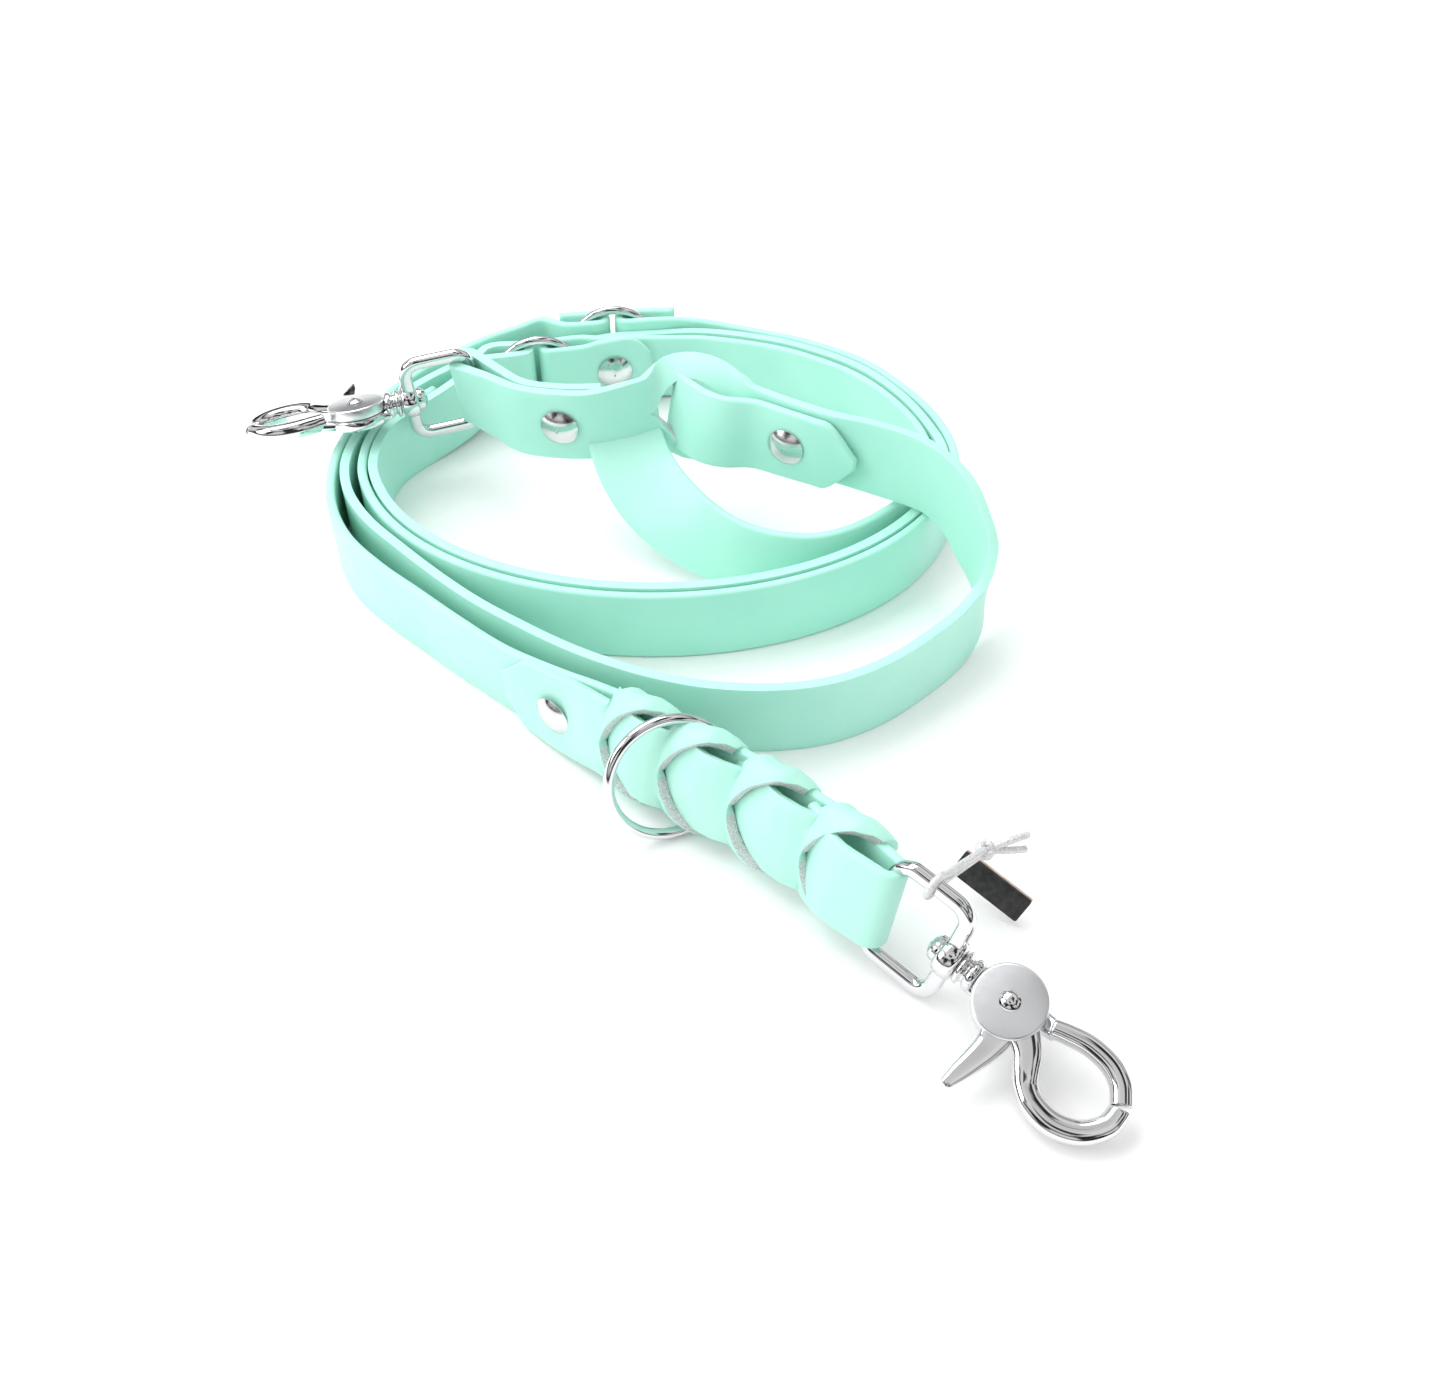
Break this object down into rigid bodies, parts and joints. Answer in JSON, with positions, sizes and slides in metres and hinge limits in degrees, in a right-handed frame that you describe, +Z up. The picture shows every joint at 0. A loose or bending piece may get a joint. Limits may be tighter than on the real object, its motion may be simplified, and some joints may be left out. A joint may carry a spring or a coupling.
{
  "type": "training leash",
  "caption": "Coiled training leash of flat coated strap with a braided end, joining rings, rivets, a swivel trigger snap at each end and a blank tag.",
  "frame": {"origin": "on the floor at the middle of the coil", "axes": "+X to the right, +Y to the back, +Z up; the braided end and front snap point to -Y and +X"},
  "size_m": [0.2046, 0.2599, 0.0422],
  "materials": {
    "strap": "satin",
    "rivet_steel": "polished",
    "ring_steel": "polished",
    "snap_chrome": "polished",
    "trigger_steel": "satin",
    "spring_steel": "satin",
    "tag_card": "matte",
    "tag_cord": "satin"
  },
  "bodies": {
    "leash": {"front_strap": "strap", "coil_strap": "strap", "handle_strap": "strap", "loop_strap": "strap", "rivet_posts": "rivet_steel", "rivet_caps": "rivet_steel"},
    "sliding_ring": {"sliding_ring": "ring_steel"},
    "inner_ring": {"inner_ring": "ring_steel"},
    "outer_ring": {"outer_ring": "ring_steel"},
    "front_loop": {"front_bail": "snap_chrome"},
    "front_snap": {"front_swivel_pin": "snap_chrome", "front_snap_body": "snap_chrome", "front_pivot_pin": "snap_chrome", "front_spring": "spring_steel"},
    "front_trigger": {"front_trigger": "trigger_steel"},
    "back_loop": {"back_bail": "snap_chrome"},
    "back_snap": {"back_swivel_pin": "snap_chrome", "back_snap_body": "snap_chrome", "back_pivot_pin": "snap_chrome", "back_spring": "spring_steel"},
    "back_trigger": {"back_trigger": "trigger_steel"},
    "tag": {"tag_card": "tag_card", "tag_cord": "tag_cord"}
  },
  "joints": [
    {"name": "sliding_ring_spin", "type": "hinge", "parent": "leash", "child": "sliding_ring", "pos_m": [0.0085, -0.1042, 0.0144], "axis": [0.3596, -0.8691, 0.3396], "continuous": true},
    {"name": "inner_ring_spin", "type": "hinge", "parent": "leash", "child": "inner_ring", "pos_m": [-0.0335, 0.053, 0.013], "axis": [-0.2079, 0.9781, 0], "continuous": true},
    {"name": "outer_ring_spin", "type": "hinge", "parent": "leash", "child": "outer_ring", "pos_m": [-0.0125, 0.0694, 0.013], "axis": [-0.1045, 0.9945, 0], "continuous": true},
    {"name": "front_loop_swing", "type": "hinge", "parent": "leash", "child": "front_loop", "pos_m": [0.0515, -0.139, 0.0163], "axis": [0.2733, 0.083, 0.9583], "range_deg": [-25, 25]},
    {"name": "front_swivel", "type": "hinge", "parent": "front_loop", "child": "front_snap", "pos_m": [0.06641, -0.15196, 0.01317], "axis": [0.7454, -0.648, -0.1564], "range_deg": [-30, 30]},
    {"name": "front_trigger_pull", "type": "hinge", "parent": "front_snap", "child": "front_trigger", "pos_m": [0.07505, -0.15948, 0.01136], "axis": [0.1249, 0.3663, -0.9221], "range_deg": [0, 28], "stiffness_Nm_per_rad": 0.05},
    {"name": "back_loop_swing", "type": "hinge", "parent": "leash", "child": "back_loop", "pos_m": [-0.0472, 0.0238, 0.0286], "axis": [0.0044, 0.1826, -0.9832], "range_deg": [-6, 6]},
    {"name": "back_swivel", "type": "hinge", "parent": "back_loop", "child": "back_snap", "pos_m": [-0.06632, 0.01806, 0.02745], "axis": [-0.9562, -0.2869, -0.0576], "range_deg": [-12, 4]},
    {"name": "back_trigger_pull", "type": "hinge", "parent": "back_snap", "child": "back_trigger", "pos_m": [-0.07742, 0.01473, 0.02678], "axis": [0.1367, -0.2642, -0.9547], "range_deg": [0, 28], "stiffness_Nm_per_rad": 0.05},
    {"name": "tag_swing", "type": "hinge", "parent": "front_loop", "child": "tag", "pos_m": [0.06088, -0.14315, 0.02703], "axis": [0.7454, -0.648, -0.1564], "range_deg": [-10, 10]}
  ]
}
